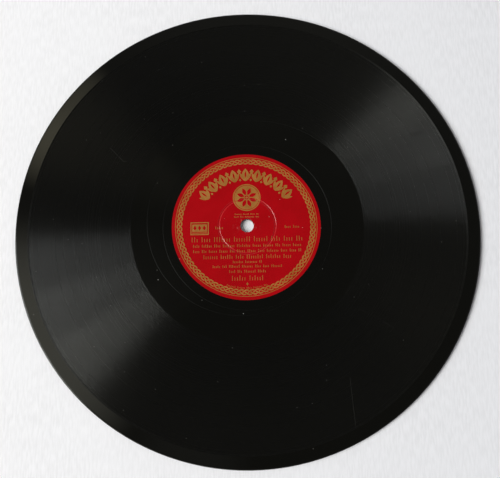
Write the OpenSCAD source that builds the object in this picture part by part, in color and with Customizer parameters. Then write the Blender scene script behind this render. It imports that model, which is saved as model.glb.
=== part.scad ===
// Ten-inch shellac record of the laminated kind: a coarse core, a paper sheet and a fine playing face
// on each side, and two paper labels. Each turn of the recorded groove is drawn as a closed ring, and the
// run-out that leads from the last turn to the stop groove as a true spiral.
// Origin: on the axis of the spindle hole, at the level of the lower face. Z points up.

/* [Disc] */
// Diameter over the rim
disc_d = 250; // [240:1:305]
// Thickness between the two playing faces
disc_t = 2.2; // [2:0.1:3.2]
// Diameter of the spindle hole
hole_d = 7.26; // [7:0.02:7.6]
// Width of the smooth margin between the rim and the first turn of the groove
margin_w = 7; // [4:0.5:12]
// Fall of the margin on each face, from the groove to the rim
margin_drop = 0.15; // [0.05:0.05:0.3]

/* [Layers] */
// Thickness of each playing face over the core
face_t = 0.4; // [0.35:0.05:0.6]
// Thickness of each paper sheet between a face and the core
sheet_t = 0.12; // [0.08:0.02:0.2]
// Distance from the rim to the edge of a paper sheet
sheet_rim_gap = 2; // [1.5:0.25:6]
// Distance from the spindle hole to the edge of a paper sheet
sheet_hole_gap = 1; // [0.5:0.25:4]

/* [Label] */
// Diameter of each label
label_d = 80; // [70:1:88]
// Thickness of the label paper
label_t = 0.12; // [0.08:0.02:0.16]
// Distance of each label's centre from the hole's axis
label_offset = 0.45; // [0:0.05:1]
// Radial play between a label and its seat
label_play = 0.05; // [0.02:0.01:0.2]
// Radius of the ring that is pressed into each label
ring_r = 15.2; // [8:0.1:25]
// Width of the pressed ring
ring_w = 1.2; // [0.6:0.1:2.5]
// Depth of the pressed ring
ring_depth = 0.15; // [0.05:0.01:0.18]

/* [Recorded groove] */
// Distance from one turn to the next
pitch = 0.25; // [0.21:0.01:0.4]
// Width of the groove where it meets the face
groove_w = 0.15; // [0.1:0.01:0.18]
// Depth of the groove
groove_depth = 0.07; // [0.05:0.005:0.1]
// Radius that the last recorded turn stays outside
band_inner_r = 62.3; // [52:0.1:80]

/* [Run-out groove] */
// Radius of the closed stop groove
stop_r = 45.25; // [42:0.05:50]
// Direction in which the recorded groove ends and the run-out starts
runout_start = 45; // [0:5:355]
// Width of the run-out and stop grooves where they meet the face
runout_w = 0.25; // [0.15:0.01:0.4]
// Depth of the run-out and stop grooves
runout_depth = 0.1; // [0.06:0.01:0.15]

/* [Hidden] */
$fn = 180;

disc_r = disc_d / 2;
hole_r = hole_d / 2;
label_r = label_d / 2;
band_outer_r = disc_r - margin_w;

// The rim is half round between the two fallen margins
rim_r = disc_t / 2 - margin_drop;
rim_centre = disc_r - rim_r;

// Height of the floor that a label is bedded on, and of the layer under a face
label_floor = disc_t - label_t;
core_top = disc_t - face_t;

// Every cutter reaches this far past the surface that it cuts
reach = 0.2;

// Turns of the recorded groove, and the radius of the last one
turns = floor((band_outer_r - band_inner_r) / pitch);
band_end_r = band_outer_r - (turns - 1) * pitch;

// The run-out falls by the same amount in each quarter turn. It is drawn in quarter arcs about the corners of
// a small square round the axis, from the middle of the first to the middle of the last. Its sizes are whole
// hundredths of a millimetre, so that the arcs meet exactly.
function hundredth(x) = round(x * 100) / 100;
quarter = 90;
runout_quarters = 3;
runout_fall = hundredth((band_end_r - stop_r) / runout_quarters);
runout_first_r = hundredth(sqrt(pow(band_end_r, 2) - pow(runout_fall, 2) / 2));

// Radius of the round tool that presses the ring
ring_tool_r = (pow(ring_w / 2, 2) + pow(ring_depth, 2)) / (2 * ring_depth);

// Outline of the whole disc on one side of the axis: radius across, height up
module disc_outline() {
    polygon([
        [hole_r, 0],
        [band_outer_r, 0],
        [rim_centre, margin_drop],
        [rim_centre, disc_t - margin_drop],
        [band_outer_r, disc_t],
        [hole_r, disc_t]
    ]);
    translate([rim_centre, disc_t / 2])
        circle(r = rim_r);
}

// The part of the outline between two heights
module layer_section(from, to) {
    intersection() {
        disc_outline();
        translate([0, from])
            square([disc_d, to - from]);
    }
}

// Section of a single groove, drawn past the face so that it cuts cleanly
module groove_section(width, depth) {
    open_w = width * (1 + reach / depth);
    polygon([
        [-open_w / 2, reach],
        [0, -depth],
        [open_w / 2, reach]
    ]);
}

// Section of every turn of the recorded groove side by side. The points between the turns stand clear of the
// face, so that the face itself is the land between one turn and the next.
module band_section() {
    land_z = groove_depth * (pitch / groove_w - 1);
    tips = [
        for (k = [0 : turns - 1])
            each [[pitch / 2 - k * pitch, land_z], [-k * pitch, -groove_depth]]
    ];
    end_x = pitch / 2 - turns * pitch;
    polygon(concat(tips, [[end_x, land_z], [end_x, reach], [pitch / 2, reach]]));
}

// The run-out, which runs inwards counter-clockwise from the last recorded turn to the stop groove
module runout_groove() {
    corners = [[1, -1], [1, 1], [-1, 1], [-1, -1]];
    rotate(runout_start - quarter / 2)
        for (i = [0 : runout_quarters])
            let (from = max(i, 0.5), to = min(i + 1, runout_quarters + 0.5))
                translate(runout_fall / 2 * corners[i % len(corners)])
                    rotate_extrude(start = from * quarter, angle = (to - from) * quarter)
                        translate([runout_first_r - i * runout_fall, disc_t])
                            groove_section(runout_w, runout_depth);
}

// The round tool's body where the ring is pressed from the given height down
module ring_tool(top) {
    rotate_extrude()
        translate([ring_r, top - ring_depth + ring_tool_r])
            circle(r = ring_tool_r);
}

// A label before its ring is pressed from above: the disc, and the ridge that the pressing raises under it
module label_blank(play, above) {
    translate([-label_offset, 0, label_floor])
        cylinder(r = label_r + play, h = label_t + above);
    intersection() {
        ring_tool(label_floor);
        cylinder(r = label_r, h = label_floor + label_t / 2);
    }
}

// A face or label of the upper side, turned over to the lower side
module turned_over() {
    translate([0, 0, disc_t])
        rotate([180, 0, 0])
            children();
}

module playing_face() {
    difference() {
        rotate_extrude()
            difference() {
                layer_section(core_top, disc_t);
                translate([band_outer_r, disc_t])
                    band_section();
                translate([stop_r, disc_t])
                    groove_section(runout_w, runout_depth);
            }
        runout_groove();
        label_blank(label_play, reach);
    }
}

module label() {
    difference() {
        label_blank(0, 0);
        ring_tool(disc_t);
        cylinder(r = hole_r, h = disc_t + reach);
    }
}

module paper_sheet() {
    rotate_extrude()
        translate([hole_r + sheet_hole_gap, core_top - sheet_t])
            square([disc_r - sheet_rim_gap - hole_r - sheet_hole_gap, sheet_t]);
}

module core() {
    color("#1c1a19")
        difference() {
            rotate_extrude()
                layer_section(face_t, core_top);
            paper_sheet();
            turned_over() paper_sheet();
        }
}

module paper_sheet_top() {
    color("#8a7a5e") paper_sheet();
}

module paper_sheet_bottom() {
    color("#8a7a5e") turned_over() paper_sheet();
}

module playing_face_top() {
    color("#121213") playing_face();
}

module playing_face_bottom() {
    color("#121213") turned_over() playing_face();
}

module label_top() {
    color("#a1050f") label();
}

module label_bottom() {
    color("#a1050f") turned_over() label();
}

core();
paper_sheet_top();
paper_sheet_bottom();
playing_face_top();
playing_face_bottom();
label_top();
label_bottom();
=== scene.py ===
"""The looks of a shellac record: finish, label print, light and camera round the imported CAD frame."""
import math
import random

import bpy
from mathutils import Matrix, Vector
from mathutils.geometry import delaunay_2d_cdt


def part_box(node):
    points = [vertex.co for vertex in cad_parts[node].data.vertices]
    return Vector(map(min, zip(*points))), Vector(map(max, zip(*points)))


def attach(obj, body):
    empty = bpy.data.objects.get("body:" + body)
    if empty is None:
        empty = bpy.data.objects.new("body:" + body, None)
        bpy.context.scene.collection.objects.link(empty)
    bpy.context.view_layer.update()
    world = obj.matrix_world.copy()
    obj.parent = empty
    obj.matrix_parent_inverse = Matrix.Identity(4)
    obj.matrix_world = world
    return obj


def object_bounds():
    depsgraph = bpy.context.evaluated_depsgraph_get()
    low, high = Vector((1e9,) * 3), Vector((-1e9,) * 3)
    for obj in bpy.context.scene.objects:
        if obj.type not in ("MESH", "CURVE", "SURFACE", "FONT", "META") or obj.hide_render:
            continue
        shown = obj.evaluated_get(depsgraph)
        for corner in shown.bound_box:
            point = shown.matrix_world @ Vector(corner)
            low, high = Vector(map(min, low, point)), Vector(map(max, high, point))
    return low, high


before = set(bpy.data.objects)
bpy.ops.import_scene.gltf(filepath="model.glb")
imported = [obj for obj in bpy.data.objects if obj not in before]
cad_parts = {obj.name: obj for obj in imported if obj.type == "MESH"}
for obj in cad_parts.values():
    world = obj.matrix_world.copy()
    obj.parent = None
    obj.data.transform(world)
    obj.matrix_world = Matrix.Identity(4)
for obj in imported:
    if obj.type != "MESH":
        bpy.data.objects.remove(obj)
cad_low, cad_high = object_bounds()

MM = 0.001

# Sizes that the frame gives
label_low, label_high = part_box("label_top")
DISC_T = cad_high.z
LABEL_X = (label_low.x + label_high.x) / 2
LABEL_Z = label_high.z

# The recorded band on each playing face: its two ends and how softly they show, where the lead-in turns
# begin, the outermost turn and the step from each turn to the next
BAND_INNER = 62.65 * MM
BAND_OUTER = 118.1 * MM
BAND_EDGE = 0.1 * MM
LEAD_IN = 117.3 * MM
FIRST_TURN = 118.0 * MM
PITCH = 0.25 * MM

# How the land between two turns rounds off into the walls, at the innermost and at the outermost turn:
# the share of the half pitch that stays level, the share that rounds off, and how late the slope grows there
LAND_LEVEL = (0.30, 0.10)
LAND_ROUND = (0.22, 0.75)
ROUND_POWER = (0.8, 3.4)
WALL_SLOPE = 2.0

# The ring pressed into each label, about the hole's axis
RING_R = 15.2 * MM
RING_W = 1.2 * MM
RING_DEPTH = 0.15 * MM

# Most of a noise lies between these two values
NOISE_MIDDLE = (0.3, 0.7)


def rgb(red, green, blue):
    return (red, green, blue, 1.0)


class Nodes:
    """A node tree that is built by short calls.

    An input is a number, a colour, a vector or another node's output.
    """

    def __init__(self, tree, coordinates):
        self.tree = tree
        self.place = self.node("TexCoord", {}, coordinates)

    def feed(self, socket, value):
        """Links another node's output to a socket, or sets the socket to a value."""
        if isinstance(value, bpy.types.NodeSocket):
            self.tree.links.new(value, socket)
        else:
            socket.default_value = value

    def node(self, kind, inputs, output=0, **settings):
        """Adds a node and gives one of its outputs."""
        made = self.tree.nodes.new("ShaderNode" + kind)
        for name, value in settings.items():
            setattr(made, name, value)
        for key, value in inputs.items():
            self.feed(made.inputs[key], value)
        return made.outputs[output]

    def math(self, operation, a, b=0.0):
        return self.node("Math", {0: a, 1: b}, operation=operation)

    def vector(self, operation, a, b=(0, 0, 0), output="Vector"):
        return self.node("VectorMath", {0: a, 1: b}, output, operation=operation)

    def step(self, value, low, high, to_low=0.0, to_high=1.0):
        """Goes smoothly from to_low to to_high as value goes from low to high."""
        inputs = {"Value": value, "From Min": low, "From Max": high, "To Min": to_low, "To Max": to_high}
        return self.node("MapRange", inputs, interpolation_type="SMOOTHSTEP")

    def mix(self, factor, a, b):
        """A colour between a and b."""
        made = self.tree.nodes.new("ShaderNodeMix")
        made.data_type = "RGBA"
        ends = [socket for socket in made.inputs if socket.type == "RGBA"]
        self.feed(made.inputs["Factor"], factor)
        for end, value in zip(ends, (a, b)):
            self.feed(end, value)
        return next(socket for socket in made.outputs if socket.type == "RGBA")


class Shader(Nodes):
    """The nodes of a material. They work from the place on the object."""

    def __init__(self, name):
        self.material = bpy.data.materials.new(name)
        self.material.use_nodes = True
        super().__init__(self.material.node_tree, "Object")
        self.surface = self.tree.nodes["Principled BSDF"]

    def set(self, **values):
        """Sets the surface's own sockets, named with _ for a space."""
        for name, value in values.items():
            self.feed(self.surface.inputs[name.replace("_", " ")], value)

    def times(self, a, b):
        return self.math("MULTIPLY", a, b)

    def clamp(self, value):
        return self.node("Clamp", {"Value": value})

    def blend(self, factor, a, b):
        """A number between a and b."""
        return self.node("Mix", {"Factor": factor, 2: a, 3: b}, data_type="FLOAT")

    def largest(self, masks):
        found = masks[0]
        for mask in masks[1:]:
            found = self.math("MAXIMUM", found, mask)
        return found

    def flat(self):
        """The place as seen from above, from the disc's axis."""
        return self.vector("MULTIPLY", self.place, (1, 1, 0))

    def radius(self):
        """Distance from the disc's axis."""
        return self.vector("LENGTH", self.flat(), output="Value")

    def facing(self):
        """The surface's own normal."""
        return self.node("NewGeometry", {}, "Normal")

    def level(self):
        """1 where the surface is level, and 0 where it is upright."""
        return self.math("ABSOLUTE", self.node("SeparateXYZ", {0: self.facing()}, "Z"))

    def scaled(self, size, stretch=(1, 1, 1)):
        """The place counted in steps of the given size in metres, drawn out by stretch."""
        return self.vector("MULTIPLY", self.place, tuple(1 / (size * times) for times in stretch))

    def noise(self, size, detail=2.0, stretch=(1, 1, 1), roughness=0.5):
        """Soft noise from 0 to 1, with spots of the given size in metres."""
        inputs = {"Vector": self.scaled(size, stretch), "Scale": 1.0}
        return self.node("TexNoise", {**inputs, "Detail": detail, "Roughness": roughness})

    def over_noise(self, noise, to_low=0.0, to_high=1.0):
        """Goes from to_low to to_high over the middle of a noise's range."""
        return self.step(noise, *NOISE_MIDDLE, to_low, to_high)

    def bump(self, height, distance, strength=1.0):
        inputs = {"Height": height, "Distance": distance, "Strength": strength}
        return self.node("Bump", inputs)


# Hairline scratches on each face, as two ends and how strongly each shows
SCRATCHES_MM = [
    ((-74.8, 45.3), (-67.4, 37.4), 0.6),
    ((-67.4, 37.4), (-65.5, 37.5), 0.45),
    ((51.4, -80.5), (53.2, -105.1), 0.32),
    ((57.2, -44.9), (75.4, -55.6), 0.15),
]
SCRATCH_HALF_W = 0.17 * MM

# A scratch comes and goes: the size of the noise for that, its range, and what is left at the low end
BREAK_SIZE = 2.5 * MM
BREAK_RANGE = (0.35, 0.6)
BREAK_LEAVES = 0.5


def hairline(shader, start, end, strength):
    """The strength given on a straight scratch between two points of the face, and 0 away from it."""
    start, end = Vector((*start, 0)) * MM, Vector((*end, 0)) * MM
    along = end - start
    offset = shader.vector("SUBTRACT", shader.flat(), start)
    share = shader.vector("DOT_PRODUCT", offset, along / along.length_squared, "Value")
    nearest = shader.vector("MULTIPLY", shader.clamp(share), along)
    distance = shader.vector("DISTANCE", offset, nearest, "Value")
    return shader.step(distance, SCRATCH_HALF_W, 0.0, 0.0, strength)


def scratches(shader):
    """How strongly a scratch shows, and 0 away from all of them."""
    found = shader.largest([hairline(shader, *scratch) for scratch in SCRATCHES_MM])
    breaks = shader.step(shader.noise(BREAK_SIZE), *BREAK_RANGE, BREAK_LEAVES, 1.0)
    return shader.times(found, breaks)


# Specks of dust that lie on each face
SPECKS_MM = [(-47.4, -28.4), (22.0, 48.2), (-2.6, -47.0)]
SPECK_R = 0.32 * MM

# Scattered grains of dust: how far apart their cells lie, a grain's radius, and the share of cells with one
FACE_GRAINS = (8 * MM, 0.3 * MM, 0.08)
LABEL_GRAINS = (6 * MM, 0.2 * MM, 0.06)
FACE_GRAIN_STRENGTH = 0.4
PICK_EDGE = 0.01


def speck(shader, centre):
    """1 on a speck of dust, and 0 away from it."""
    distance = shader.vector("DISTANCE", shader.flat(), Vector((*centre, 0)) * MM, "Value")
    return shader.step(distance, SPECK_R, 0.0)


def dust(shader, spacing, size, share):
    """1 on small grains scattered over the surface, in the given share of cells."""
    inputs = {"Vector": shader.scaled(spacing), "Scale": 1.0}
    grains = shader.node("TexVoronoi", inputs, "Distance", voronoi_dimensions="2D")
    pick = shader.node("SeparateColor", {0: grains.node.outputs["Color"]})
    chosen = shader.step(pick, 1 - share, 1 - share + PICK_EDGE)
    return shader.times(chosen, shader.step(grains, size / spacing, 0.0))


def face_dust(shader):
    """1 on the specks of a face, less on its scattered grains, and 0 elsewhere."""
    grains = shader.times(dust(shader, *FACE_GRAINS), FACE_GRAIN_STRENGTH)
    return shader.largest([speck(shader, centre) for centre in SPECKS_MM] + [grains])


# Shellac. Its black goes from one colour to the other with the haze
PLAIN_BLACK = (rgb(0.0023, 0.0022, 0.0017), rgb(0.0036, 0.0035, 0.0028))
WORN_BLACK = (rgb(0.0030, 0.0029, 0.0023), rgb(0.0043, 0.0042, 0.0034))
HAZE_SIZE = 0.7 * MM
SCRATCH_GREY = rgb(0.080, 0.078, 0.074)
DUST_GREY = rgb(0.34, 0.33, 0.31)
SHELLAC_IOR = 1.37

# Roughness of the plain shellac with its smudges, of the groove from passage to passage, of the lead-in
# turns, of the walls outside the band and of dust
PLAIN_ROUGHNESS = (0.07, 0.12)
SMUDGE_SIZE = 45 * MM
SMUDGE_RANGE = (0.35, 0.75)
GROOVE_ROUGHNESS = (0.225, 0.275)
PASSAGE_W = 0.5 * MM
LEAD_IN_ROUGHNESS = 0.46
WALL_ROUGHNESS = 0.75
DUST_ROUGHNESS = 0.9

# How level a surface is where a wall begins, and where it is one fully
WALL_LEVEL = (0.97, 0.85)

# The tangent runs round the disc, and a quarter turn draws the sheen out across the groove
SHEEN_TURN = 0.25


def shellac_roughness(shader, band):
    """The roughness of a face, in the recorded band and outside it."""
    inputs = {"W": shader.math("DIVIDE", shader.radius(), PASSAGE_W), "Scale": 1.0, "Detail": 4.0}
    passages = shader.node("TexNoise", inputs, noise_dimensions="1D")
    lead_in = shader.step(shader.radius(), LEAD_IN - BAND_EDGE, LEAD_IN)
    groove = shader.over_noise(passages, *GROOVE_ROUGHNESS)
    groove = shader.blend(lead_in, groove, LEAD_IN_ROUGHNESS)
    plain = shader.step(shader.noise(SMUDGE_SIZE, detail=4.0), *SMUDGE_RANGE, *PLAIN_ROUGHNESS)
    plain = shader.blend(shader.step(shader.level(), *WALL_LEVEL), plain, WALL_ROUGHNESS)
    return shader.blend(band, plain, groove)


def over_band(shader, ends):
    """Goes from the first value at the innermost turn of the band to the second at the outermost."""
    return shader.step(shader.radius(), BAND_INNER, BAND_OUTER, *ends)


def groove_normal(shader, band):
    """The normal of a groove with rounded shoulders in the recorded band, and the surface's own elsewhere.

    It is worked out from the place alone, so that the facets of the frame don't show in the sheen.
    """
    # Off the land's middle, in pitches: 0 there, and 0.5 or -0.5 in the middle of a turn
    turn = shader.math("DIVIDE", shader.math("SUBTRACT", FIRST_TURN, shader.radius()), PITCH)
    off_land = shader.math("SUBTRACT", 0.5, shader.math("FRACT", turn))
    from_middle = shader.times(shader.math("ABSOLUTE", off_land), 2.0)

    past_level = shader.math("SUBTRACT", from_middle, over_band(shader, LAND_LEVEL))
    share = shader.clamp(shader.math("DIVIDE", past_level, over_band(shader, LAND_ROUND)))
    lean = shader.times(shader.math("POWER", share, over_band(shader, ROUND_POWER)), WALL_SLOPE)
    lean = shader.times(lean, shader.math("SIGN", off_land))

    facing = shader.facing()
    up = shader.math("SIGN", shader.node("SeparateXYZ", {0: facing}, "Z"))
    up = shader.node("CombineXYZ", {"Z": up})
    outward = shader.vector("MULTIPLY", shader.vector("NORMALIZE", shader.flat()), lean)
    groove = shader.vector("NORMALIZE", shader.vector("ADD", up, outward))
    groove = shader.vector("MULTIPLY", groove, band)
    plain = shader.vector("MULTIPLY", facing, shader.math("SUBTRACT", 1.0, band))
    return shader.vector("NORMALIZE", shader.vector("ADD", plain, groove))


def shellac():
    """Black shellac: mirror-like where it is plain, and drawn out across the groove in the recorded band."""
    shader = Shader("shellac")
    radius = shader.radius()
    inside = shader.step(radius, BAND_INNER - BAND_EDGE, BAND_INNER)
    band = shader.times(inside, shader.step(radius, BAND_OUTER + BAND_EDGE, BAND_OUTER))
    haze = shader.noise(HAZE_SIZE, detail=1.0)
    black = shader.mix(band, shader.mix(haze, *PLAIN_BLACK), shader.mix(haze, *WORN_BLACK))
    black = shader.mix(scratches(shader), black, SCRATCH_GREY)
    specks = face_dust(shader)
    shader.set(Base_Color=shader.mix(specks, black, DUST_GREY))
    shader.set(Roughness=shader.blend(specks, shellac_roughness(shader, band), DUST_ROUGHNESS))
    shader.set(IOR=SHELLAC_IOR, Anisotropic=1.0, Anisotropic_Rotation=SHEEN_TURN)
    shader.set(Normal=groove_normal(shader, band))
    shader.set(Tangent=shader.node("Tangent", {}, direction_type="RADIAL", axis="Z"))
    return shader.material


CORE_BLACK = (rgb(0.006, 0.0055, 0.005), rgb(0.012, 0.0105, 0.009))
CORE_PATCH_SIZE = 18 * MM
FILLER_GREY = rgb(0.024, 0.021, 0.018)
FILLER_SIZE = 0.35 * MM
FILLER_RANGE = (0.55, 0.75)
FILLER_BUMP = 0.02 * MM
CORE_ROUGHNESS = (0.32, 0.55)
CORE_IOR = 1.55


def core_stock():
    """The coarser stock of the core, with grains of its filler showing at the rim."""
    shader = Shader("core_stock")
    grain = shader.noise(FILLER_SIZE, detail=5.0, roughness=0.7)
    black = shader.mix(shader.noise(CORE_PATCH_SIZE, detail=3.0), *CORE_BLACK)
    shader.set(Base_Color=shader.mix(shader.step(grain, *FILLER_RANGE), black, FILLER_GREY))
    shader.set(Roughness=shader.over_noise(grain, *CORE_ROUGHNESS), IOR=CORE_IOR)
    shader.set(Normal=shader.bump(grain, FILLER_BUMP))
    return shader.material


SHEET_TAN = (rgb(0.22, 0.165, 0.105), rgb(0.31, 0.24, 0.16))
SHEET_CLOUD_SIZE = 6 * MM
SHEET_FIBRE_TAN = rgb(0.40, 0.32, 0.23)
SHEET_FIBRE_SIZE = 0.5 * MM
SHEET_FIBRE_STRETCH = (5, 1, 1)
SHEET_FIBRE_RANGE = (0.5, 0.8)
SHEET_FIBRE_BUMP = 0.02 * MM
SHEET_ROUGHNESS = (0.8, 0.95)


def sheet_paper():
    """Unbleached paper between the core and each face."""
    shader = Shader("sheet_paper")
    fibres = shader.noise(SHEET_FIBRE_SIZE, detail=5.0, stretch=SHEET_FIBRE_STRETCH, roughness=0.65)
    tan = shader.mix(shader.noise(SHEET_CLOUD_SIZE, detail=3.0), *SHEET_TAN)
    shader.set(Base_Color=shader.mix(shader.step(fibres, *SHEET_FIBRE_RANGE), tan, SHEET_FIBRE_TAN))
    shader.set(Roughness=shader.over_noise(fibres, *SHEET_ROUGHNESS))
    shader.set(Normal=shader.bump(fibres, SHEET_FIBRE_BUMP))
    return shader.material


LABEL_RED = (rgb(0.331, 0.0002, 0.0026), rgb(0.374, 0.0004, 0.0036))
LABEL_CLOUD_SIZE = 14 * MM
LABEL_ROUGHNESS = (0.12, 0.18)
LABEL_IOR = 1.5
FIBRE_RED = rgb(0.41, 0.002, 0.007)
FIBRE_SIZE = 0.28 * MM
FIBRE_STRETCH = (4, 1, 1)
FIBRE_RANGE = (0.5, 0.85)
FIBRE_STRENGTH = 0.30
FIBRE_BUMP = 0.006 * MM

# The pressed ring's walls, which are rubbed pale and painted paler as a stand-in for their highlight: how
# level a wall is where it begins and where it is full
PRESSED_LEVEL = (0.98, 0.90)
RUBBED_AND_HIGHLIGHT_RED = rgb(0.62, 0.05, 0.06)
RUBBED_AND_HIGHLIGHT_STRENGTH = 0.4
PRESSED_ROUGHNESS = 0.27

# Scuffs from the spindle, from the radius where they begin to the one where they are full
SCUFF_RADII = (9 * MM, 3.5 * MM)
SCUFF_RED = rgb(0.62, 0.25, 0.22)
SCUFF_SIZE = 0.6 * MM
SCUFF_STRETCH = (1, 3, 1)
SCUFF_RANGE = (0.60, 0.72)
SCUFF_STRENGTH = 0.35
LABEL_DUST = rgb(0.70, 0.55, 0.50)


def label_paper():
    """Red paper, pressed smooth, with fibres, fading, a ring painted pale as part rubbed wear and part
    painted highlight, and scuffs from the spindle.
    """
    shader = Shader("label_paper")
    cloud = shader.noise(LABEL_CLOUD_SIZE, detail=3.0)
    fibres = shader.noise(FIBRE_SIZE, detail=5.0, stretch=FIBRE_STRETCH, roughness=0.65)
    pressed = shader.step(shader.level(), *PRESSED_LEVEL)
    near_hole = shader.step(shader.radius(), *SCUFF_RADII)
    scuffs = shader.step(shader.noise(SCUFF_SIZE, detail=4.0, stretch=SCUFF_STRETCH), *SCUFF_RANGE)
    scuffs = shader.times(near_hole, scuffs)

    red = shader.mix(shader.over_noise(cloud), *LABEL_RED)
    red = shader.mix(shader.step(fibres, *FIBRE_RANGE, 0.0, FIBRE_STRENGTH), red, FIBRE_RED)
    # the ring's walls in a paler red: partly rubbed paper, partly a painted highlight
    red = shader.mix(shader.times(pressed, RUBBED_AND_HIGHLIGHT_STRENGTH), red, RUBBED_AND_HIGHLIGHT_RED)
    red = shader.mix(shader.times(scuffs, SCUFF_STRENGTH), red, SCUFF_RED)
    shader.set(Base_Color=shader.mix(dust(shader, *LABEL_GRAINS), red, LABEL_DUST))
    smooth = shader.over_noise(fibres, *LABEL_ROUGHNESS)
    shader.set(Roughness=shader.blend(pressed, smooth, PRESSED_ROUGHNESS), IOR=LABEL_IOR)
    shader.set(Normal=shader.bump(fibres, FIBRE_BUMP, strength=0.5))
    return shader.material


INK_GOLD = (rgb(0.275, 0.106, 0.018), rgb(0.355, 0.149, 0.032))
INK_CLOUD_SIZE = 5 * MM
INK_ROUGHNESS = (0.22, 0.32)
THIN_GOLD = rgb(0.33, 0.04, 0.010)
POWDER_SIZE = 0.22 * MM
THIN_RANGE = (0.62, 0.78)
THIN_STRENGTH = 0.45
POWDER_BUMP = 0.008 * MM


def gold_ink():
    """Bronze-powder ink, thin and grainy over the red paper."""
    shader = Shader("gold_ink")
    powder = shader.noise(POWDER_SIZE, detail=4.0, roughness=0.7)
    gold = shader.mix(shader.over_noise(shader.noise(INK_CLOUD_SIZE, detail=3.0)), *INK_GOLD)
    thin = shader.step(powder, *THIN_RANGE, 0.0, THIN_STRENGTH)
    shader.set(Base_Color=shader.mix(thin, gold, THIN_GOLD))
    shader.set(Roughness=shader.over_noise(powder, *INK_ROUGHNESS))
    shader.set(Normal=shader.bump(powder, POWDER_BUMP, strength=0.5))
    return shader.material


# The floor's colour is painted darker to the right of the disc, as painted falloff of the window's light,
# and changes within this far of the axis
FLOOR_LIT_LEFT = rgb(0.970, 0.949, 0.992)
FLOOR_SHADED_RIGHT = rgb(0.752, 0.743, 0.795)
FLOOR_FALLOFF_CHANGE = 0.25
# Painted shade of the crepe's crinkles: its colour, the crinkles' size and stretch, and how dark they are
# painted
CREPE_SHADE_COLOUR = rgb(0.0, 0.0, 0.0)
CREPE_SIZE = 1.0 * MM
CREPE_STRETCH = (1, 6, 1)
CREPE_SHADE_STRENGTH = 0.085
FLOOR_CLOUD_SIZE = 40 * MM
FLOOR_CLOUD_LEAVES = 0.6
FLOOR_ROUGHNESS = 0.95


def pale_floor():
    """Pale cloth, with painted falloff of the window's light towards the right and painted shade of its
    crepe crinkles.
    """
    shader = Shader("pale_floor")
    across = shader.node("SeparateXYZ", {0: shader.place}, "X")
    # painted light falloff: paler on the window's side and darker away from it
    pale = shader.mix(shader.step(across, -FLOOR_FALLOFF_CHANGE, FLOOR_FALLOFF_CHANGE), FLOOR_LIT_LEFT, FLOOR_SHADED_RIGHT)
    # painted shade of the crepe's fine crinkles, varying in strength with a large cloud
    crinkle_shade = shader.over_noise(shader.noise(CREPE_SIZE, stretch=CREPE_STRETCH), 0.0, CREPE_SHADE_STRENGTH)
    cloud = shader.over_noise(shader.noise(FLOOR_CLOUD_SIZE), FLOOR_CLOUD_LEAVES, 1.0)
    shader.set(Base_Color=shader.mix(shader.times(crinkle_shade, cloud), pale, CREPE_SHADE_COLOUR))
    shader.set(Roughness=FLOOR_ROUGHNESS, Specular_IOR_Level=0.0)
    return shader.material


# The label's print. Points are in millimetres from the label's centre, with y to the top of the label.


def circle(x, y, radius, count=72):
    turns = [2 * math.pi * k / count for k in range(count)]
    return [(x + radius * math.cos(a), y + radius * math.sin(a)) for a in turns]


def box(x, y, width, height):
    w, h = width / 2, height / 2
    return [(x - w, y - h), (x + w, y - h), (x + w, y + h), (x - w, y + h)]


def lozenge(x, y, width, height):
    return [(x, y - height / 2), (x + width / 2, y), (x, y + height / 2), (x - width / 2, y)]


def leaf(start, end, width, count=8):
    """A pointed leaf between two points."""
    start, end = Vector(start), Vector(end)
    along = end - start
    across = Vector((-along.y, along.x)).normalized() * width / 2
    steps = [k / count for k in range(count + 1)]
    right = [start + along * t - across * math.sin(math.pi * t) for t in steps]
    left = [start + along * t + across * math.sin(math.pi * t) for t in reversed(steps[1:-1])]
    return [tuple(p) for p in right + left]


def bent(points, base_r, degrees, upright=1):
    """Points drawn across and up from a line, laid along a circle.

    Upright is 1 over the label's centre and -1 under it.
    """
    laid = []
    for across, up in points:
        angle = math.radians(degrees) - upright * across / base_r
        r = base_r + upright * up
        laid.append((r * math.cos(angle), r * math.sin(angle)))
    return laid


class Print:
    """Shapes in one ink. A later shape lies over the earlier ones, and a bare one takes the ink away."""

    def __init__(self):
        self.shapes = []

    def ink(self, points):
        self.shapes.append((points, True))

    def bare(self, points):
        self.shapes.append((points, False))

    def ring(self, x, y, outer, inner):
        self.ink(circle(x, y, outer))
        self.bare(circle(x, y, inner))


# The plait: its middle and how far a strand swings from there, and the bare gap beside a strand on top
PLAIT_R = 35.85
PLAIT_SWING = 1.2
PLAIT_WAVES = 26
PLAIT_STRANDS = 3
PLAIT_STEPS = 5
STRAND_W = 0.70
STRAND_GAP = 0.24
GAP_INSET = 0.03
PLAIT_LINE = (38.2, 37.9)

# The plait is turned by this, in radians, because a strand that begins on the x axis spoils the ink's mesh
PLAIT_TURN = 0.1


def strand_piece(strand, quarter, width, inset=0.0):
    """Outline of a quarter wave of one strand of the plait, less the inset share at each end."""
    inner, outer = [], []
    for step in range(PLAIT_STEPS + 1):
        phase = math.pi / 2 * (quarter + inset + (1 - 2 * inset) * step / PLAIT_STEPS)
        angle = PLAIT_TURN + (phase - 2 * math.pi * strand / PLAIT_STRANDS) / PLAIT_WAVES
        middle = PLAIT_R + PLAIT_SWING * math.sin(phase)
        slope = PLAIT_SWING * PLAIT_WAVES / PLAIT_R * math.cos(phase)
        half = width / 2 * math.hypot(1, slope)
        for side, r in ((inner, middle - half), (outer, middle + half)):
            side.append((r * math.cos(angle), r * math.sin(angle)))
    return inner + outer[::-1]


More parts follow.
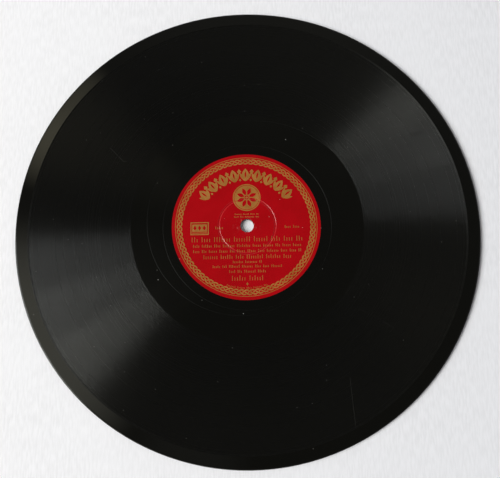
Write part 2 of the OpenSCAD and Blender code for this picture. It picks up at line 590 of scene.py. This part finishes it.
def plait(sheet):
    """A plait of three strands round the label, with a thin line outside it.

    A strand passes over another on its way from the middle to an edge, and under one on its way back.
    """
    sheet.ring(0, 0, *PLAIT_LINE)
    for quarter in range(1, 4 * PLAIT_WAVES, 2):
        for strand in range(PLAIT_STRANDS):
            sheet.ink(strand_piece(strand, quarter, STRAND_W))
    for quarter in range(4 * PLAIT_WAVES - 2, -1, -2):
        for strand in range(PLAIT_STRANDS):
            sheet.bare(strand_piece(strand, quarter, STRAND_W + 2 * STRAND_GAP, GAP_INSET))
            sheet.ink(strand_piece(strand, quarter, STRAND_W))


# The frieze: radius of its foot, height, the angles of its first and last leaf in degrees, and its leaves
FRIEZE_R = 24.8
FRIEZE_H = 7.2
FRIEZE_FROM = 38
FRIEZE_TO = 142
FRIEZE_LEAVES = 9
LEAF_W = 3.4
VEIN_FROM = 1.8
VEIN_SHORT = 1.5
VEIN_W = 0.8
SIDE_LEAF_FOOT = 0.3
SIDE_LEAF_OUT = 2.7
SIDE_LEAF_H = 4.9
SIDE_LEAF_W = 1.6

# Lozenges between two leaves: how far up, width and height
FRIEZE_LOZENGES = [(5.6, 1.9, 2.8), (0.8, 1.3, 1.6)]


def frieze(sheet):
    """A frieze of broad leaves over the middle, with lozenges between them."""
    step = (FRIEZE_TO - FRIEZE_FROM) / (FRIEZE_LEAVES - 1)
    for k in range(FRIEZE_LEAVES):
        at = FRIEZE_FROM + k * step
        sheet.ink(bent(leaf((0, 0), (0, FRIEZE_H), LEAF_W), FRIEZE_R, at))
        sheet.bare(bent(leaf((0, VEIN_FROM), (0, FRIEZE_H - VEIN_SHORT), VEIN_W), FRIEZE_R, at))
        for side in (-1, 1):
            foot, tip = (side * SIDE_LEAF_FOOT, 0), (side * SIDE_LEAF_OUT, SIDE_LEAF_H)
            sheet.ink(bent(leaf(foot, tip, SIDE_LEAF_W), FRIEZE_R, at))
        if k < FRIEZE_LEAVES - 1:
            for up, width, height in FRIEZE_LOZENGES:
                sheet.ink(bent(lozenge(0, up, width, height), FRIEZE_R, at + step / 2))


ROSETTE = (0.5, 15.6)
ROSETTE_R = 7.5
ROSETTE_RIM = 0.55
ROSETTE_INSET = 0.8
PETALS = 8
PETAL_FROM = 1.3
PETAL_TO = 5.6
PETAL_W = 2.0
EYE_RING = (1.5, 1.1)
EYE_R = 0.6
EYE_POINTS = 16


def rosette(sheet):
    """A round medallion with a flower of eight petals."""
    x, y = ROSETTE
    centre = Vector(ROSETTE)
    sheet.ring(x, y, ROSETTE_R, ROSETTE_R - ROSETTE_RIM)
    sheet.ink(circle(x, y, ROSETTE_R - ROSETTE_INSET))
    for k in range(PETALS):
        angle = 2 * math.pi * (k + 0.5) / PETALS
        out = Vector((math.cos(angle), math.sin(angle)))
        sheet.bare(leaf(centre + out * PETAL_FROM, centre + out * PETAL_TO, PETAL_W))
    sheet.ring(x, y, *EYE_RING)
    sheet.ink(circle(x, y, EYE_R, EYE_POINTS))


# Strokes stand in groups of so many, further apart the higher their row is, and some are as high as the row
STROKE_W = 0.27
STROKE_STEP = 0.36
STROKE_GROUP = (3, 8)
TALL_SHARE = 0.22
LOW_STROKE = 0.66
ARC_STROKE_W = STROKE_W * 0.8


def strokes(width, height, seed):
    """Upright strokes in groups, centred on x = 0, as (x, stroke height) pairs."""
    draw = random.Random(seed)
    pitch = STROKE_STEP + STROKE_STEP * height
    found, x = [], 0.0
    while x < width:
        for k in range(draw.randint(*STROKE_GROUP)):
            tall = k == 0 or draw.random() < TALL_SHARE
            found.append((x, height if tall else LOW_STROKE * height))
            x += pitch
        x += pitch
    found = [stroke for stroke in found if stroke[0] <= width]
    middle = found[-1][0] / 2
    return [(x - middle, tall) for x, tall in found]


def stroke_row(sheet, x, y, width, height, seed):
    for at, tall in strokes(width, height, seed):
        sheet.ink(box(x + at, y - (height - tall) / 2, STROKE_W, tall))


def stroke_arc(sheet, base_r, degrees, width, height, seed):
    for at, tall in strokes(width, height, seed):
        sheet.ink(bent(box(at, tall / 2, ARC_STROKE_W, tall), base_r, degrees, upright=-1))


# The framed panel: its middle, the width and height of each shape in it, and how far up some of them lie
PANEL = (-25.0, -1.2)
PANEL_OUTSIDE = (9.8, 7.0)
PANEL_INSIDE = (8.8, 6.0)
PANEL_FIELD = (8.0, 4.0)
PANEL_FIELD_UP = 0.3
PANEL_BAR = (8.0, 0.4)
PANEL_BAR_UP = -2.4
PANEL_LOZENGE = (1.7, 2.9)
PANEL_LOZENGE_STEP = 2.5


def panel(sheet):
    """A framed panel with three lozenges left bare."""
    x, y = PANEL
    sheet.ink(box(x, y, *PANEL_OUTSIDE))
    sheet.bare(box(x, y, *PANEL_INSIDE))
    sheet.ink(box(x, y + PANEL_FIELD_UP, *PANEL_FIELD))
    sheet.ink(box(x, y + PANEL_BAR_UP, *PANEL_BAR))
    for k in (-1, 0, 1):
        sheet.bare(lozenge(x + PANEL_LOZENGE_STEP * k, y + PANEL_FIELD_UP, *PANEL_LOZENGE))


# Rows of strokes: height of the row on the label, its width and the height of its strokes
ROW_X = 0.3
ROWS = [
    (6.4, 12.5, 0.8), (4.9, 13, 0.8), (-7.3, 59, 2.7), (-10.8, 58, 1.6), (-13.7, 58, 1.6),
    (-16.8, 48, 2.2), (-19.6, 15.5, 1.3), (-22.0, 36.5, 1.4), (-24.7, 19.5, 1.5), (-28.3, 18, 2.7),
]

# Short rows to the left and right of the hole: middle and width
SIDE_ROWS = [(-14.5, 3.6), (24.5, 8.4)]
SIDE_ROW_Y = -0.9
SIDE_ROW_H = 1.5
SIDE_ROW_SEED = 20

# Under the rows, a lozenge as place and size, and a row of strokes along the plait
LAST_LOZENGE = (0.2, -31.4, 1.3, 1.6)
ARC_R = 34.0
ARC_AT = -90
ARC_W = 22
ARC_H = 1.0
ARC_SEED = 30


def label_print():
    """All shapes of the label's print."""
    sheet = Print()
    plait(sheet)
    frieze(sheet)
    rosette(sheet)
    panel(sheet)
    for k, (y, width, height) in enumerate(ROWS):
        stroke_row(sheet, ROW_X, y, width, height, seed=k)
    for k, (x, width) in enumerate(SIDE_ROWS):
        stroke_row(sheet, x, SIDE_ROW_Y, width, SIDE_ROW_H, seed=SIDE_ROW_SEED + k)
    sheet.ink(lozenge(*LAST_LOZENGE))
    stroke_arc(sheet, ARC_R, ARC_AT, ARC_W, ARC_H, seed=ARC_SEED)
    return sheet.shapes


# The ink stands this far above the paper, and reaches this far down from there
INK_LIFT = 0.012 * MM
INK_THICKNESS = 0.02 * MM

# The ink's mesh bends in so many steps from the pressed ring's middle to each side
RING_STEPS = 4

# The print is cut into triangles over its whole hull, and points nearer than this, in millimetres, are one
WHOLE_HULL = 0
SAME_POINT = 1e-5


def ring_fall(radius):
    """How far the pressed ring lowers the label at a distance from the axis."""
    tool_r = ((RING_W / 2) ** 2 + RING_DEPTH ** 2) / (2 * RING_DEPTH)
    off = abs(radius - RING_R)
    if off >= RING_W / 2:
        return 0.0
    return RING_DEPTH - (tool_r - math.sqrt(tool_r ** 2 - off ** 2))


def counter_clockwise(points):
    area = sum(a[0] * b[1] - b[0] * a[1] for a, b in zip(points, points[1:] + points[:1]))
    return points if area > 0 else points[::-1]


def ink_mesh(name, shapes):
    """The inked parts of the shapes as one mesh on the upper label, following the pressed ring."""
    points, faces, edges = [], [], []
    for shape, _ in shapes:
        faces.append(list(range(len(points), len(points) + len(shape))))
        points += counter_clockwise(shape)
    for k in range(-RING_STEPS, RING_STEPS + 1):
        ring = circle(-LABEL_X / MM, 0, (RING_R + RING_W / 2 * k / RING_STEPS) / MM)
        first = len(points)
        edges += [(first + i, first + (i + 1) % len(ring)) for i in range(len(ring))]
        points += ring
    cut = delaunay_2d_cdt([Vector(p) for p in points], edges, faces, WHOLE_HULL, SAME_POINT)
    found, _, triangles, _, _, owners = cut
    inked = [t for t, own in zip(triangles, owners) if own and shapes[max(own)][1]]
    used = sorted({v for t in inked for v in t})
    index = {v: k for k, v in enumerate(used)}
    corners = []
    for v in used:
        x, y = LABEL_X + found[v].x * MM, found[v].y * MM
        corners.append((x, y, LABEL_Z + INK_LIFT - ring_fall(math.hypot(x, y))))
    mesh = bpy.data.meshes.new(name)
    mesh.from_pydata(corners, [], [[index[v] for v in t] for t in inked])
    mesh.update()
    return mesh


def add_object(name, data):
    made = bpy.data.objects.new(name, data)
    bpy.context.scene.collection.objects.link(made)
    return made


def add_print(name, mesh, place):
    """Lays the print on a label, as a film that reaches down into the paper."""
    piece = add_object(name, mesh)
    piece.matrix_world = place
    film = piece.modifiers.new("film", "SOLIDIFY")
    film.thickness = INK_THICKNESS
    film.offset = -1
    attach(piece, "root")


def dress(node, material):
    """Gives a CAD node its finish."""
    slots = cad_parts[node].data.materials
    slots.clear()
    slots.append(material)


# Light and camera. Sizes and distances are in metres, and angles in degrees unless it says otherwise.

FLOOR_SIZE = 8.0

# The panes of a window to the left: azimuth, power and colour. They stand far off, so that they light the
# floor evenly from side to side and no part of it clips to white.
KEY_ELEVATION = 38
KEY_DISTANCE = 200.0
KEY_SIZE = (41.3, 120.0)
KEY_PANES = [
    (174.3, 130000, (0.97, 1.0, 0.99)),
    (189.5, 178000, (0.975, 1.0, 0.965)),
    (204.6, 205000, (0.98, 1.0, 0.93)),
]

# The room's colour low down and straight overhead, and the heights on a sphere of radius 1 between which it
# changes
SKY_LOW = rgb(0.39, 0.39, 0.40)
SKY_HIGH = rgb(0.065, 0.065, 0.062)
SKY_CHANGE = (0.35, 1.0)

# Glows in the room: azimuth and elevation, how far from there each begins and is full, and colour
GLOWS = [
    ((85.0, 50.0), (20.0, 6.0), rgb(0.21, 0.21, 0.195)),
    ((238.0, 76.6), (7.0, 2.0), rgb(0.19, 0.19, 0.175)),
    ((131.2, 59.7), (7.5, 1.5), rgb(1.72, 1.61, 1.18)),
    ((180.5, 66.5), (14.3, 1.0), rgb(1.60, 1.57, 1.31)),
]

# The camera's place, its turn in radians, and its lens and sensor in millimetres
CAMERA_PLACE = Vector((4.42, -70.88, 324.22)) * MM
CAMERA_TURN = (0.1946, 0.0122, -0.0160)
CAMERA_LENS = 44.22
CAMERA_SENSOR = 36
CAMERA_NEAR = 0.01


def towards(azimuth, elevation):
    """The direction at an azimuth and an elevation in degrees."""
    azimuth, elevation = math.radians(azimuth), math.radians(elevation)
    flat = math.cos(elevation)
    return Vector((flat * math.cos(azimuth), flat * math.sin(azimuth), math.sin(elevation)))


def add_floor():
    mesh = bpy.data.meshes.new("floor")
    corners = [(x, y, 0) for x, y in box(0, 0, FLOOR_SIZE, FLOOR_SIZE)]
    mesh.from_pydata(corners, [], [(0, 1, 2, 3)])
    mesh.materials.append(pale_floor())
    floor = add_object("floor", mesh)


def add_pane(azimuth, power, colour):
    """One pane of the window."""
    lamp = bpy.data.lights.new("pane", "AREA")
    lamp.shape = "RECTANGLE"
    lamp.size, lamp.size_y = KEY_SIZE
    lamp.energy = power
    lamp.color = colour
    out = towards(azimuth, KEY_ELEVATION)
    pane = add_object("pane", lamp)
    pane.location = out * KEY_DISTANCE
    pane.rotation_euler = out.to_track_quat("Z", "Y").to_euler()
    pane.visible_camera = False


def add_room():
    """A room that is pale round the horizon and dark overhead, with glows that the plain shellac mirrors."""
    world = bpy.data.worlds.new("room")
    bpy.context.scene.world = world
    world.use_nodes = True
    nodes = Nodes(world.node_tree, "Generated")
    height = nodes.vector("DOT_PRODUCT", nodes.place, (0, 0, 1), "Value")
    room = nodes.mix(nodes.step(height, *SKY_CHANGE), SKY_LOW, SKY_HIGH)
    for direction, spread, colour in GLOWS:
        nearness = nodes.vector("DOT_PRODUCT", nodes.place, towards(*direction), "Value")
        begins, full = (math.cos(math.radians(degrees)) for degrees in spread)
        room = nodes.mix(nodes.step(nearness, begins, full), room, colour)
    nodes.feed(nodes.tree.nodes["Background"].inputs["Color"], room)


def add_camera():
    lens = bpy.data.cameras.new("camera")
    lens.sensor_width = CAMERA_SENSOR
    lens.lens = CAMERA_LENS
    lens.clip_start = CAMERA_NEAR
    camera = add_object("camera", lens)
    camera.location = CAMERA_PLACE
    camera.rotation_euler = CAMERA_TURN
    bpy.context.scene.camera = camera


finishes = {"playing_face": shellac(), "paper_sheet": sheet_paper(), "label": label_paper()}
for layer, finish in finishes.items():
    for side in ("top", "bottom"):
        dress(f"{layer}_{side}", finish)
dress("core", core_stock())

ink = ink_mesh("label_print", label_print())
ink.materials.append(gold_ink())
turned_over = Matrix.Translation((0, 0, DISC_T)) @ Matrix.Rotation(math.pi, 4, "X")
add_print("label_print_top", ink, Matrix.Identity(4))
add_print("label_print_bottom", ink, turned_over)

add_floor()
for pane in KEY_PANES:
    add_pane(*pane)
add_room()
add_camera()
bpy.context.scene.view_settings.view_transform = "Standard"
